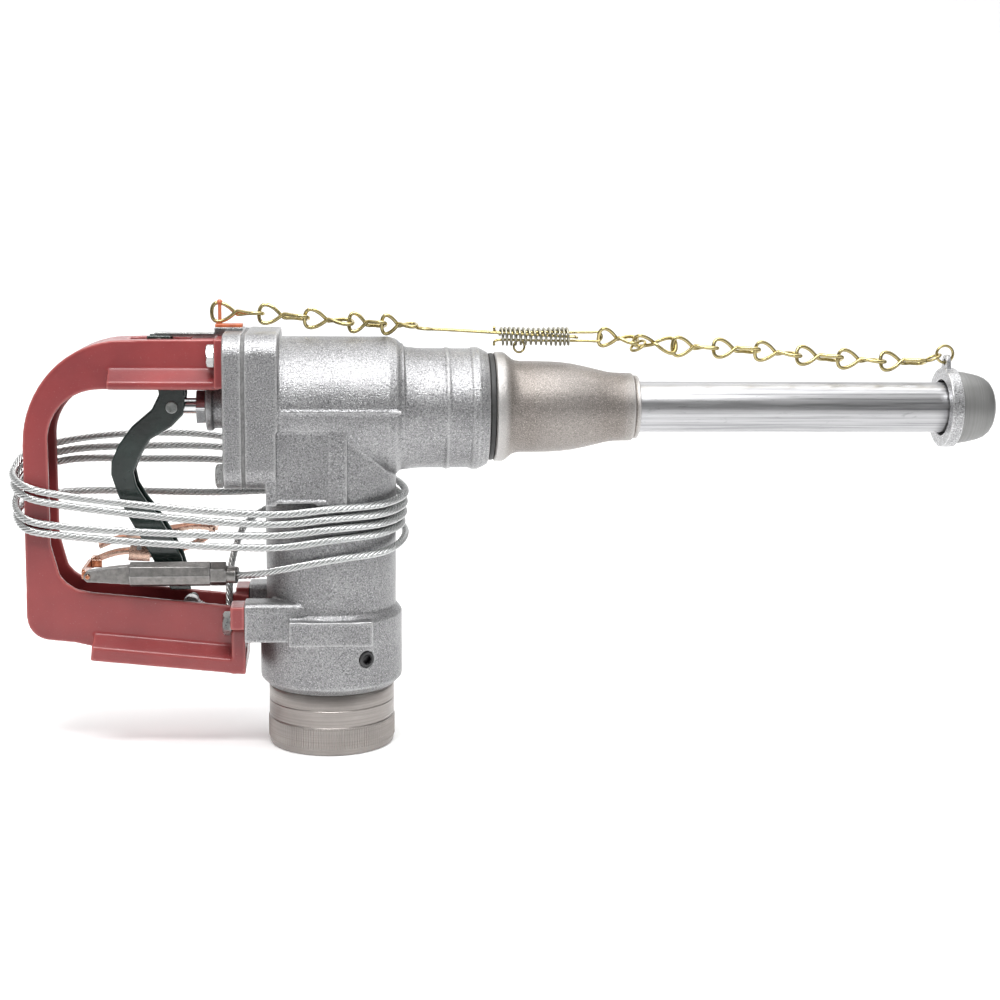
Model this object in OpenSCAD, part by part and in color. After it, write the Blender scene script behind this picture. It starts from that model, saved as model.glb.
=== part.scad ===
/* [Inlet and column] */
// Height of the spout axis above the inlet face
axis_h = 212; // [211:0.5:213]
// Outer radius of the inlet swivel
swivel_r = 39.7; // [39.2:0.1:40.2]
// Thread bore radius of the inlet (2 in pipe thread)
inlet_r = 28.6; // [28:0.1:29]
// Depth of the threaded inlet
inlet_len = 20; // [18:1:21]
// Outer radius of the column
column_r = 40.35; // [40.2:0.05:40.4]
// Outer radius of the swivel boss
boss_r = 44.2; // [44:0.1:44.6]

/* [Chamber and outlet] */
// Outer radius of the valve chamber
chamber_r = 43; // [42.5:0.1:43]
// Outer radius of the outlet neck
neck_r = 37; // [36.5:0.1:37]
// Outer radius of the spout tube (1 1/4 in tube)
tube_r = 15.875; // [15.5:0.025:16]
// Wall of the spout tube
tube_wall = 1.65; // [1.2:0.05:2]
// Outer radius of the dust cap at its mouth
cap_r = 23; // [22:0.5:23]

/* [Rear cap and guard] */
// Half width of the flange and the rear cap
flange_y = 44; // [43:0.5:44]
// Half height of the flange and the rear cap
flange_z = 46.5; // [46:0.5:47]
// Half width of the hand guard
guard_y = 19; // [18.5:0.5:19]
// Wall of the hand guard channel
guard_wall = 3.5; // [3:0.5:4]

/* [Lever and valve] */
// Half width of the lever
lever_y = 9; // [8.5:0.5:9]
// Radius of the valve stem
stem_r = 5; // [4.8:0.1:5]
// Radius of the fulcrum pin
pin_r = 3; // [2.8:0.1:3]

/* [Cable] */
// Outer diameter of the bonding cable (3/16 in)
cable_d = 4.76; // [4.6:0.02:4.8]

/* [Hidden] */
$fn = 64;

fz = axis_h;                     // height of the spout axis
fulcrum = [-103, 251];           // lever fulcrum, x and z
spin_p = [-96, axis_h];          // stem pin, x and z
bolt_y = 30;                     // half spacing of the lower flange bolts
bolt_yu = 27;                    // half spacing of the upper flange bolts
bolt_up = fz + 33.2;
bolt_dn = fz - 38.7;
lug_y = 28;
lug_z = 82;
clip_y = 20;                     // middle of the clip's width
clip_piv = [-120, 121];

// ---- helpers ----
module xcyl(x0, x1, r, y = 0, z = fz) translate([x0, y, z]) rotate([0, 90, 0]) cylinder(h = x1 - x0, r = r);
module ycyl(y0, y1, r, x, z) translate([x, y0, z]) rotate([-90, 0, 0]) cylinder(h = y1 - y0, r = r);
module xrev(pts, z = fz) translate([0, 0, z]) rotate([0, 90, 0]) rotate_extrude() polygon([for (p = pts) [p[1], p[0]]]);
module box(a, b) translate(a) cube([b[0] - a[0], b[1] - a[1], b[2] - a[2]]);
// plate across X with round corners
module xplate(x0, x1, hy, hz, r, z = fz) {
  box([x0, -hy + r, z - hz], [x1, hy - r, z + hz]);
  box([x0, -hy, z - hz + r], [x1, hy, z + hz - r]);
  for (sy = [-1, 1], sz = [-1, 1]) xcyl(x0, x1, r, sy * (hy - r), z + sz * (hz - r));
}
// side profile in x and z, extruded from y0 to y1
module side(pts, y0, y1) translate([0, y1, 0]) rotate([90, 0, 0]) linear_extrude(y1 - y0) polygon(pts);
// profile in y and z, extruded along x from x0 to x1
module cross(pts, x0, x1) translate([x0, 0, 0]) rotate([90, 0, 90]) linear_extrude(x1 - x0) polygon(pts);
module hexbolt(x_head, t, x_end, y, z, r = 3.97, rh = 7.33) {
  translate([x_head - t, y, z]) rotate([0, 90, 0]) cylinder(h = t, r = rh, $fn = 6);
  xcyl(x_head - 0.5, x_end, r, y, z);
}
function arc(cx, cz, rx, rz, a0, a1, n) = [for (i = [0 : n]) let (a = a0 + (a1 - a0) * i / n) [cx + rx * cos(a), cz + rz * sin(a)]];
// torus with its axis along the given direction
module ring(R, r, rot = [0, 0, 0]) rotate(rot) rotate_extrude($fn = 32) translate([R, 0]) circle(r, $fn = 16);

// ---- body ----
module body_casting() color([0.62, 0.62, 0.62]) difference() {
  union() {
    // boss and column
    rotate_extrude() polygon([[0, 38.4], [39.6, 38.4], [boss_r, 43], [boss_r, 84], [column_r, 89], [column_r, fz], [0, fz]]);
    // chamber and neck
    xrev([[-50.5, 0], [-50.5, chamber_r], [35, chamber_r], [40, chamber_r - 1.4], [43, chamber_r - 4.2], [44.3, 39], [44.3, 0]]);
    xrev([[40, 0], [40, neck_r + 1.5], [48, neck_r + 0.6], [54, neck_r], [92, neck_r], [96.5, neck_r - 2.5], [96.5, 0]], fz - 1);
    // rear flange
    xplate(-50.5, -31, flange_y, flange_z, 14);
    // raised panels on the front of the column
    box([-38.5, -41.6, 156.5], [10, 0, fz + 1]);
    box([-25.4, -46, 71], [25.4, 0, 86]);
    // guard lugs
    for (s = [-1, 1]) {
      box([-52.3, s * lug_y - 10, 72], [-14, s * lug_y + 10, 92]);
      xcyl(-52.3, -14, 4, s * (lug_y + 6), 92);
      xcyl(-52.3, -14, 4, s * (lug_y - 6), 92);
      box([-52.3, s * lug_y - 6, 88], [-14, s * lug_y + 6, 96]);
    }
  }
  // recessed blank panel
  box([-32.2, -50, 159.6], [-1.4, -40.6, 201.2]);
  box([-32.2, -50, 91], [-8.6, -39.4, 158]);
  // waterway and valve chamber
  translate([0, 0, 76.5]) cylinder(h = fz - 76.5, r = 31);
  xcyl(-51.5, 38, 36);
  xcyl(30, 97.5, 27);
  // swivel bore with its ball race
  translate([0, 0, 38]) cylinder(h = 34.6, r = 35.95);
  translate([0, 0, 72]) cylinder(h = 4.6, r = 35.6);
  translate([0, 0, 61.2]) rotate_extrude() translate([35.92, 0]) circle(2.9, $fn = 32);
  // ball plug hole
  translate([0, 0, 61.2]) rotate([0, 90, -60.6]) cylinder(h = 60, r = 5);
  // bolt holes
  for (s = [-1, 1]) {
    xcyl(-52, -33, 3.97, s * bolt_yu, bolt_up);
    xcyl(-52, -33, 3.97, s * bolt_y, bolt_dn);
    xcyl(-54, -30, 3.97, s * lug_y, lug_z);
  }
}
module rear_cap() color([0.66, 0.66, 0.66]) difference() {
  union() {
    xplate(-63.5, -52.3, flange_y, flange_z, 14);
    xcyl(-71.6, -63, 13.7);
    xcyl(-75.5, -71.6, 15.2);
    xcyl(-53, -44, 35.4);
  }
  xcyl(-80, -40, stem_r + 0.05);
  xcyl(-76, -66, 8.2);
  xcyl(-50, -43, 24);
  for (s = [-1, 1]) {
    xcyl(-65, -50, 3.97, s * bolt_yu, bolt_up);
    xcyl(-65, -50, 3.97, s * bolt_y, bolt_dn);
  }
}
module cap_gasket() color([0.15, 0.15, 0.15]) difference() {
  xplate(-52.3, -50.5, flange_y - 0.6, flange_z - 0.6, 13.6);
  xcyl(-53, -50, 36.2);
  for (s = [-1, 1]) {
    xcyl(-53, -50, 4.4, s * bolt_yu, bolt_up);
    xcyl(-53, -50, 4.4, s * bolt_y, bolt_dn);
  }
}
module packing_nut() color([0.85, 0.85, 0.87]) difference() {
  union() {
    translate([-81.4, 0, fz]) rotate([0, 90, 0]) rotate([0, 0, 30]) cylinder(h = 5.8, r = 11.5, $fn = 6);
    xcyl(-76, -73.7, 7.9);
  }
  xcyl(-82, -73, stem_r + 0.35);
}
module stem_packing() color([0.2, 0.19, 0.17])
  for (x = [-73.5, -71.1, -68.7]) difference() {
    xcyl(x, x + 2.2, 8.0);
    xcyl(x - 1, x + 4, stem_r + 0.35);
  }
module valve_seat() color([0.8, 0.7, 0.45]) difference() {
  xcyl(31, 38, 35.9);
  xcyl(30, 39, 25);
}
// helical spring round the stem, one swept mesh
function coil(n, R, x0, x1, turns) = [for (i = [0 : n]) let (a = 360 * turns * i / n) [x0 + (x1 - x0) * i / n, R * cos(a), fz + R * sin(a)]];
module sweep(P, r, k) {
  n = len(P) - 1;
  T = [for (i = [0 : n]) let (d = P[min(i + 1, n)] - P[max(i - 1, 0)]) d / norm(d)];
  U0 = cross_v(T[0], [0, 0.31, 0.95]);
  F = frames(T, U0 / norm(U0), 0, []);
  pts = [for (i = [0 : n], j = [0 : k - 1]) let (u = F[i], v = cross_v(T[i], u), a = 360 * j / k) P[i] + r * (cos(a) * u + sin(a) * v)];
  quads = [for (i = [0 : n - 1], j = [0 : k - 1]) let (a = i * k + j, b = i * k + (j + 1) % k, c = (i + 1) * k + (j + 1) % k, d = (i + 1) * k + j) each [[a, c, b], [a, d, c]]];
  ends = [[for (j = [0 : k - 1]) j], [for (j = [k - 1 : -1 : 0]) n * k + j]];
  polyhedron(pts, concat(quads, ends), convexity = 10);
}
function cross_v(a, b) = [a[1] * b[2] - a[2] * b[1], a[2] * b[0] - a[0] * b[2], a[0] * b[1] - a[1] * b[0]];
function frames(T, u, i, acc) = i >= len(T) ? acc :
  let (w = u - (u * T[i]) * T[i], q = w / norm(w)) frames(T, q, i + 1, concat(acc, [q]));
module poppet_spring() color([0.6, 0.6, 0.62]) sweep(coil(96, 29.8, -41.7, 18.4, 5), 2, 8);

// ---- hand guard ----
g_out = concat([[-63.5, 254.2], [-123.4, 253.4]], arc(-123.4, 190, 60.4, 63.4, 90, 180, 16),
  [[-184.6, 86]], arc(-170.1, 84.5, 14.5, 14.5, 180, 262, 6), [[-156, 68.4], [-146, 66], [-52.5, 57], [-52.5, 150], [-63.5, 150]]);
g_win = concat([[-50, 89.2], [-74, 92], [-95, 94.2], [-118.7, 96.8], [-145, 99.4], [-154.5, 101.5], [-160.5, 105.6], [-164.2, 110], [-169.2, 129.4], [-169.2, 190]],
  arc(-138, 193, 31.2, 30.8, 178, 90, 9), [[-50, 226.4]]);
g_web = concat([[-50, 60.8], [-146, 70.2], [-156, 72.6], [-168, 74.2]], arc(-170.1, 84.5, 10.5, 10.5, 262, 180, 5), arc(-123.4, 190, 56.6, 59.4, 180, 90, 14), [[-50, 250.2]]);
module hand_guard() color([0.62, 0.2, 0.2]) difference() {
  union() {
    difference() {
      side(g_out, -guard_y, guard_y);
      side(g_win, -guard_y - 1, guard_y + 1);
      side(g_web, -guard_y + guard_wall, guard_y - guard_wall);
    }
    // flared skirts of the top arm
    for (s = [0, 1]) mirror([0, s, 0]) cross([[-18, 238], [-19, 236.5], [-28.6, 229.2], [-28.6, 225.6], [-27.6, 224.6], [-16, 224.4]], -132, -66);
    // feet
    box([-68.4, -34.5, 226], [-63.5, 34.5, 255.2]);
    difference() {
      union() {
        box([-60.7, -29, 50.2], [-52.3, 29, 89]);
        for (s = [-1, 1]) box([-60.7, s * 28 - 10, 80], [-52.3, s * 28 + 10, 94]);
      }
      box([-62, -15.5, 61.5], [-50, 15.5, 96]);
    }
    // flared skirts of the lower arm, following its slope
    for (s = [0, 1]) mirror([0, s, 0]) translate([-52.3, 0, 49.6]) rotate([0, 5.9, 0])
      cross([[-16, 10], [-18.6, 15.5], [-28.9, 8.5], [-28.9, 0.3], [-27, 0], [-16, 6]], -94, -0.6);
  }
  // slot over the lever
  box([-121, -9.6, 240], [-84, 9.6, 262]);
  for (s = [-1, 1]) {
    xcyl(-70, -62, 3.97, s * bolt_yu, bolt_up);
    xcyl(-62, -50, 3.97, s * lug_y, lug_z);
  }
  // hole of the cable anchor pin
  ycyl(-18.4, 18.4, 2, -87, 88.5);
}
module fulcrum_link() color([0.75, 0.75, 0.77]) difference() {
  union() {
    box([-103, -5, 254.5], [-69.8, 5, 257]);
    ycyl(-5, 5, 5.4, fulcrum[0], fulcrum[1]);
    box([-106, -5, 251], [-98, 5, 257]);
    box([-69.9, -5, 255.3], [-63.6, 5, 258.6]);
    box([-70, -5, 258.5], [-53, 5, 260.4]);
  }
  ycyl(-6, 6, pin_r, fulcrum[0], fulcrum[1]);
}
module fulcrum_pin() color([0.8, 0.8, 0.82]) {
  ycyl(-lever_y - 0.2, lever_y + 0.2, pin_r, fulcrum[0], fulcrum[1]);
}

// ---- spout ----
module spout_gasket() color([0.06, 0.06, 0.06]) difference() {
  xrev([[96.5, 0], [96.5, 33.2], [98.6, 34], [102.4, 34], [102.4, 0]]);
  xcyl(96, 103, 27.2);
}
module spout_adapter() color([0.6, 0.57, 0.54]) difference() {
  union() {
    xrev([[102.4, 0], [102.4, 34], [106, 33.6], [110, 31.6], [113, 29.2], [116, 28.3], [136, 28.2], [146, 27.4], [172, 21.6], [178, 21.2], [186.5, 21.2], [187.5, 20.6], [187.5, 0]]);
    xcyl(187, 190.4, 19.6);
    xcyl(86, 103, 26.8);
  }
  xrev([[85, 0], [85, 23.5], [114, 23.5], [150, 14.3], [150.1, 14.3], [150.1, 0]]);
  xcyl(150, 191, tube_r - tube_wall);
  xcyl(150, 191, tube_r);
}
module spout_tube() color([0.8, 0.8, 0.81]) difference() {
  xcyl(150, 396, tube_r);
  xcyl(149, 397, tube_r - tube_wall);
}
module ball_plug() color([0.08, 0.08, 0.08]) translate([0, 0, 61.2]) rotate([0, 90, -60.6]) difference() {
  translate([0, 0, 39.4]) cylinder(h = 5.4, r = 4.98);
  translate([0, 0, 41.8]) cylinder(h = 6, r = 2.6, $fn = 6);
}
module swivel_balls() color([0.75, 0.75, 0.78])
  for (i = [0 : 29]) rotate([0, 0, i * 12]) translate([35.92, 0, 61.2]) sphere(r = 2.5, $fn = 24);
module swivel_seal() color([0.08, 0.08, 0.08]) difference() {
  translate([0, 0, 72.9]) cylinder(h = 3.5, r = 35.5);
  translate([0, 0, 72]) cylinder(h = 6, r = 31.4);
}
module cap_bolts_lower() color([0.7, 0.7, 0.7]) for (s = [-1, 1]) hexbolt(-63.5, 5, -34, s * bolt_y, bolt_dn);
module guard_bolts_upper() color([0.7, 0.7, 0.7]) for (s = [-1, 1]) hexbolt(-68.4, 5, -34, s * bolt_yu, bolt_up);
module guard_bolts_lower() color([0.7, 0.7, 0.7]) for (s = [-1, 1]) hexbolt(-60.7, 5, -31, s * lug_y, lug_z);
module cable_anchor() color([0.7, 0.7, 0.7]) {
  ycyl(-18.4, 18.4, 2, -87, 88.5);
  for (s = [0, 1]) mirror([0, s, 0]) ycyl(14.1, 15.4, 3.4, -87, 88.5);
}

// ---- swivel ----
module inlet_swivel() color([0.65, 0.63, 0.6]) difference() {
  union() {
    rotate_extrude() polygon([[0, 0], [38.2, 0], [39.1, 1], [39.1, 3.2], [swivel_r, 3.8], [swivel_r, 17.2], [39.2, 17.8], [39.2, 37.2], [38.4, 38], [0, 38]]);
    cylinder(h = 72, r = 35.9);
  }
  translate([0, 0, -1]) cylinder(h = inlet_len + 1, r = inlet_r);
  translate([0, 0, inlet_len - 1]) cylinder(h = 60, r = 26.5);
  translate([0, 0, 61.2]) rotate_extrude() translate([35.92, 0]) circle(2.9, $fn = 32);
}
module inlet_strainer() color([0.7, 0.7, 0.7]) difference() {
  union() {
    translate([0, 0, 24]) cylinder(h = 40, r = 23);
    translate([0, 0, 24]) cylinder(h = 2, r = 26.5);
  }
  translate([0, 0, 23]) cylinder(h = 40, r = 22.2);
  for (k = [0 : 1], i = [0 : 9]) rotate([0, 0, i * 36 + k * 18]) translate([14, 0, 36 + k * 14]) rotate([0, 90, 0]) cylinder(h = 14, r = 4.5);
}

// ---- lever and valve ----
lev_l = [[-110, 255.4], [-110, 245], [-105.5, 232], [-103.6, 219.8], [-108.2, 210.6], [-120.4, 200.2], [-128.5, 189], [-133, 178.5], [-133.2, 170.5], [-129.3, 158], [-124.7, 146.8], [-120.6, 139.2], [-115.9, 131], [-110, 119.7], [-104, 108], [-98.5, 99]];
lev_r = [[-86, 99], [-88, 106], [-91.7, 119.6], [-98.7, 134.1], [-106.4, 146.7], [-113.5, 156.1], [-118.2, 164.2], [-119.8, 172.3], [-116, 181.6], [-109.7, 192.1], [-96.3, 200.2], [-89.2, 207.5], [-87.8, 219.9], [-90, 232], [-96, 245], [-96, 255.4]];
lev_in = [[-84, 98], [-96.2, 98], [-101.8, 109], [-107.8, 120.7], [-113.7, 132], [-118.4, 140.2], [-122.5, 147.8], [-127, 158.8], [-130.8, 170.8], [-130.6, 178], [-126.3, 187.8], [-118.6, 198.4], [-106.6, 208.8], [-101.2, 219.5], [-103.2, 232.5], [-111, 245.4], [-111, 257],  [-80, 257], [-80, 205], [-95, 196], [-107, 188], [-112, 180], [-113.5, 172.3], [-112, 165], [-105, 154], [-98, 143], [-88, 125], [-82, 110]];
module lever() color([0.13, 0.17, 0.16]) difference() {
  side(concat(lev_l, lev_r), -lever_y, lever_y);
  side(lev_in, -lever_y + 2.2, lever_y - 2.2);
  ycyl(-20, 20, pin_r + 0.05, fulcrum[0], fulcrum[1]);
  ycyl(-20, 20, 2.5, spin_p[0], spin_p[1]);
}
module stem_pin() color([0.8, 0.8, 0.82]) {
  ycyl(-lever_y - 0.6, lever_y + 0.6, 2.5, spin_p[0], spin_p[1]);
  for (s = [0, 1]) mirror([0, s, 0]) ycyl(lever_y, lever_y + 1.2, 3.6, spin_p[0], spin_p[1]);
}
module stem() color([0.85, 0.85, 0.86]) difference() {
  union() {
    xcyl(-94, 36.5, stem_r);
    ycyl(-5, 5, 6.4, spin_p[0], spin_p[1]);
  }
  ycyl(-6, 6, 3.3, spin_p[0], spin_p[1]);
}
module poppet_disc() color([0.7, 0.7, 0.7]) difference() {
  union() {
    xcyl(21, 28, 31);
    xcyl(4, 21, 9);
  }
  xcyl(0, 30, stem_r);
}
module poppet_seal() color([0.1, 0.1, 0.1]) difference() {
  xcyl(28, 30.5, 30.5);
  xcyl(27, 31, 12);
}
module poppet_nut() color([0.7, 0.7, 0.72]) difference() {
  translate([28, 0, fz]) rotate([0, 90, 0]) cylinder(h = 6, r = 9.2, $fn = 6);
  xcyl(27, 36, stem_r);
}

// ---- dust cap and chain ----
module dust_cap() color([0.55, 0.55, 0.54]) difference() {
  xrev([[392.5, 0], [392.5, cap_r - 0.1], [400, cap_r - 0.7], [410, cap_r - 2.2], [414.5, cap_r - 3.8], [417, cap_r - 6.5], [418, cap_r - 9.5], [418, 0]]);
  xcyl(392, 399, tube_r + 0.3);
}
module cap_ring() color([0.78, 0.78, 0.78]) difference() {
  union() {
    xcyl(385, 392.5, 25);
    box([386, -5, fz + 20], [389, 5, fz + 28.5]);
    xcyl(386, 389, 5, 0, fz + 28.5);
  }
  xcyl(384, 393, tube_r + 1.8);
  xcyl(384, 393, 2.3, 0, fz + 28.8);
}
// one link of jack chain: two eyes at right angles with a twisted shank
module link(p, q, roll = 0, r = 1) {
  d = q - p;
  L = norm(d);
  e = L < 17.6 ? L / 4 - 0.1 : 5.3;
  translate((p + q) / 2) rotate([0, -asin(d[2] / L), atan2(d[1], d[0])]) rotate([roll, 0, 0]) {
    translate([-L / 2 + e, 0, 0]) ring(e, r);
    translate([L / 2 - e, 0, 0]) ring(e, r, [90, 0, 0]);
    translate([-L / 2 + 2 * e - 0.5, 0, 0]) rotate([0, 90, 0]) cylinder(h = L - 4 * e + 1, r = r * 1.15, $fn = 16);
  }
}
lk = 2.7;   // wire-centre gap between neighbouring links
ch_l = [[-70.5, 0, 269.4], [-42, 0, 268.6], [-14.5, 0, 266], [12.5, 0, 263.6], [32.5, 0, 262.4], [51.5, 0, 262]];
ch_r = [[213, 0, 249.8], [239, 0, 249], [265.5, 0, 247.4], [292, 0, 244.8], [318.5, 0, 242.6], [346, 0, 241.2], [372.5, 0, 240.8]];
module run(P, a = 0) for (i = [0 : len(P) - 2]) let (d = P[i + 1] - P[i], u = d / norm(d)) link(P[i] + u * lk / 2, P[i + 1] - u * lk / 2, a);
module chain_left() color([0.75, 0.66, 0.35]) run(ch_l, 45);
module chain_right() color([0.75, 0.66, 0.35]) {
  run(ch_r, 45);
  // last eye through the ear of the ring
  translate([378.6, 0, 243.4]) rotate([0, -25, 0]) ring(4.8, 0.9);
  translate([386, 0, 245.8]) ring(5.3, 0.9, [90, 0, 0]);
}
module chain_hook() color([0.72, 0.3, 0.2]) {
  difference() {
    box([-69.5, -5, 260.4], [-53, 5, 262.4]);
    translate([-66.9, 0, 259]) cylinder(h = 5, r = 1.1);
  }
  translate([-66.9, 0, 260.4]) cylinder(h = 15.5, r = 1.1);
  translate([-66.9, 0, 275.5]) sphere(r = 1.7, $fn = 24);
}
// drawbars: wire frames that hook round the far ends of the spring
module drawbar_left() color([0.75, 0.66, 0.35]) {
  translate([57.5, 0, 260.2]) rotate([0, 8.5, 0]) ring(4.8, 0.9, [0, 0, 0]);
  for (s = [-1, 1]) translate([60, s * 2.6, 259.8]) rotate([0, 92.8, 0]) cylinder(h = 90.4, r = 0.8, $fn = 16);
  translate([150, 0, 255.4]) rotate([90, 0, 0]) cylinder(h = 13, r = 0.9, center = true, $fn = 16);
}
module drawbar_right() color([0.75, 0.66, 0.35]) {
  for (s = [-1, 1]) translate([101, 0, 255.6 + s * 2.6]) rotate([0, 90, 0]) cylinder(h = 66, r = 0.8, $fn = 16);
  translate([101, 0, 255.6]) cylinder(h = 13, r = 0.9, center = true, $fn = 16);
  translate([167, 0, 255.6]) cylinder(h = 6.4, r = 0.9, center = true, $fn = 16);
  link([167, 0, 255.6], [190, 0, 253], 90);
  link([190, 0, 253], [213 - lk, 0, 249.8], 45);
}
module drawbar_spring() color([0.35, 0.34, 0.28]) translate([0, 0, 255.6 - fz]) sweep(coil(132, 5.0, 104, 146, 11), 0.8, 8);

// ---- bonding cable ----
cab_r = cable_d / 2;
// start, four turns round guard and column, end; x and y repeat, the height falls and climbs by hand
cab_pts = [
  [-75, 0, 82], [-69, 2, 77.5], [-65.5, 8, 77], [-64.5, 12, 85], [-64.5, 16, 95], [-64, 24, 106], [-61, 31, 118], [-56, 37, 130], [-44, 42.5, 139.5], [-22, 44.6, 145.5],
  [0, 43.5, 147.2], [31, 31, 145], [44, 0, 140.5], [31, -31, 138.3], [0, -43.5, 136.1], [-34, -40, 131.2], [-163, -22.6, 136], [-181.6, -21.7, 139.2], [-189.5, -10, 143], [-192, 4, 146.8],
  [-186.1, 18, 151.5], [-166, 22.8, 155.2], [-70, 36.2, 152.5], [-30, 42.2, 153], [0, 44.5, 153.2], [33, 33, 151], [45, 0, 146.4], [31.5, -31.5, 144.4], [0, -43.8, 142.9], [-34, -40.2, 138.6],
  [-163, -22.8, 141.6], [-181.6, -21.9, 145.2], [-190, -10, 149.4], [-192.5, 4, 155], [-186.6, 18, 168], [-166, 22.8, 175], [-117, 34, 174.5], [-68, 44, 172], [-30, 46, 166], [0, 46, 160.5],
  [34, 34, 157.2], [45.4, 0, 152.6], [31.9, -31.9, 150.6], [0, -44, 149.1], [-34, -40.4, 145.4], [-163, -23, 154.8], [-181.6, -22.1, 159.2], [-190.5, -10, 162.8], [-193, 4, 166], [-187.1, 18, 174.2],
  [-166, 23, 181], [-117, 37.6, 182.2], [-68, 48.8, 179.5], [-30, 49.2, 172.5], [0, 49, 166.8], [35, 34.5, 163.3], [46, 0, 158.8], [32.2, -32.2, 156.6], [0, -44.3, 155.1], [-34, -40.7, 151.5],
  [-163, -23.2, 160.8], [-181.6, -22.4, 165.4], [-191, -10, 168.8], [-193.5, 4, 172], [-188.1, 18.5, 180.3], [-166, 24, 187], [-117, 41.5, 190], [-68, 54.2, 185.6], [-34, 54.9, 176.5], [-8, 54.8, 164.5],
  [8, 53, 154.5], [24, 46, 146], [39, 29, 138.6], [46.2, 3, 132.4], [33, -33, 127.6], [0, -43.6, 123.9], [-26, -41, 118.5], [-44, -33.5, 113.7], [-52, -27.3, 111.7], [-57, -25, 111.3]];
module bonding_cable() color([0.7, 0.7, 0.7]) sweep(cab_pts, cab_r, 8);
module cable_ferrule() color([0.78, 0.78, 0.78]) difference() {
  union() {
    translate([-75, 0, 82]) rotate([0, -60, 0]) cylinder(h = 12, r = 4);
    ycyl(-4, 4, 5, -87, 88.5);
  }
  ycyl(-9, 9, 2, -87, 88.5);
}
module clamp_block() color([0.52, 0.51, 0.5]) {
  translate([-121.5, -22.5, 111.8]) rotate([0, 90, 0]) cylinder(h = 48.5, r = 7.7, $fn = 8);
  difference() {
    side([[-120.5, 117.5], [-132, 116.5], [-147, 114.2], [-149, 112], [-149, 109.4], [-147, 107.6], [-120.5, 106]], -26, -19);
    ycyl(-30, -10, 1.6, -146.5, 111);
  }
}
module gland_nut() color([0.5, 0.5, 0.49]) {
  translate([-73, -22.5, 111.8]) rotate([0, 90, 0]) cylinder(h = 9.4, r = 7.6, $fn = 6);
  translate([-65, -23.4, 111.7]) rotate([0, 92, -12]) cylinder(h = 8.4, r = 5.2);
}
module clip_link() color([0.78, 0.5, 0.36]) {
  box([-151.2, -17.4, 108], [-149.4, 13, 114]);
  ycyl(-27, -17.4, 1.55, -146.5, 111);
  box([-151.2, -19, 109.2], [-145, -17.4, 112.8]);
  box([-151.2, 13, 108.5], [-143, 15, 113.5]);
}
// clip halves: thin curved cheeks either side of the hinge pin
module clip_lower() color([0.8, 0.52, 0.38]) difference() {
  union() {
    side([[-150, 112], [-150, 109.5], [-141, 112.5], [-128, 115], [-112, 114.5], [-96, 116], [-84, 120.5], [-74, 127], [-74, 129.2], [-85, 122.6], [-97, 118.2], [-112, 116.8], [-128, 117.3], [-141, 115]], clip_y - 5, clip_y + 5);
    for (s = [-1, 1]) side([[-128, 115], [-112, 114.5], [-114, 121], [-117, 125], [-123, 125], [-126, 121]], clip_y + s * 5.8 - 0.8, clip_y + s * 5.8 + 0.8);
  }
  ycyl(10, 30, 1.55, clip_piv[0], clip_piv[1]);
}
module clip_upper() color([0.8, 0.52, 0.38]) difference() {
  union() {
    side([[-146, 123.5], [-146, 121.3], [-137, 125], [-127, 127], [-120, 129.5], [-108, 131], [-96, 133], [-84, 134.3], [-72, 131.5], [-71.6, 133.6], [-84, 136.6], [-96, 135.4], [-108, 133.6], [-120, 132], [-128, 129.3], [-137, 127.4]], clip_y - 5, clip_y + 5);
    for (s = [-1, 1]) side([[-127, 127.5], [-113, 131], [-115, 122], [-118, 118.3], [-122, 118.3], [-125, 122]], clip_y + s * 3.9 - 0.8, clip_y + s * 3.9 + 0.8);
  }
  ycyl(10, 30, 1.55, clip_piv[0], clip_piv[1]);
}
module clip_pin() color([0.7, 0.7, 0.7]) ycyl(clip_y - 7.4, clip_y + 7.4, 1.5, clip_piv[0], clip_piv[1]);
module clip_spring() color([0.6, 0.6, 0.6]) difference() {
  ycyl(clip_y - 2.6, clip_y + 2.6, 2.9, clip_piv[0], clip_piv[1]);
  ycyl(10, 30, 1.9, clip_piv[0], clip_piv[1]);
}

body_casting();
rear_cap();
cap_gasket();
packing_nut();
stem_packing();
valve_seat();
poppet_spring();
hand_guard();
fulcrum_link();
fulcrum_pin();
chain_hook();
spout_gasket();
spout_adapter();
spout_tube();
ball_plug();
swivel_balls();
swivel_seal();
cap_bolts_lower();
guard_bolts_upper();
guard_bolts_lower();
cable_anchor();
inlet_swivel();
inlet_strainer();
lever();
stem_pin();
stem();
poppet_disc();
poppet_seal();
poppet_nut();
dust_cap();
cap_ring();
drawbar_right();
chain_right();
chain_left();
drawbar_left();
drawbar_spring();
bonding_cable();
cable_ferrule();
clamp_block();
gland_nut();
clip_link();
clip_lower();
clip_pin();
clip_spring();
clip_upper();
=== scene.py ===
import math
import random

import bmesh
import bpy
from mathutils import Matrix, Vector

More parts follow.
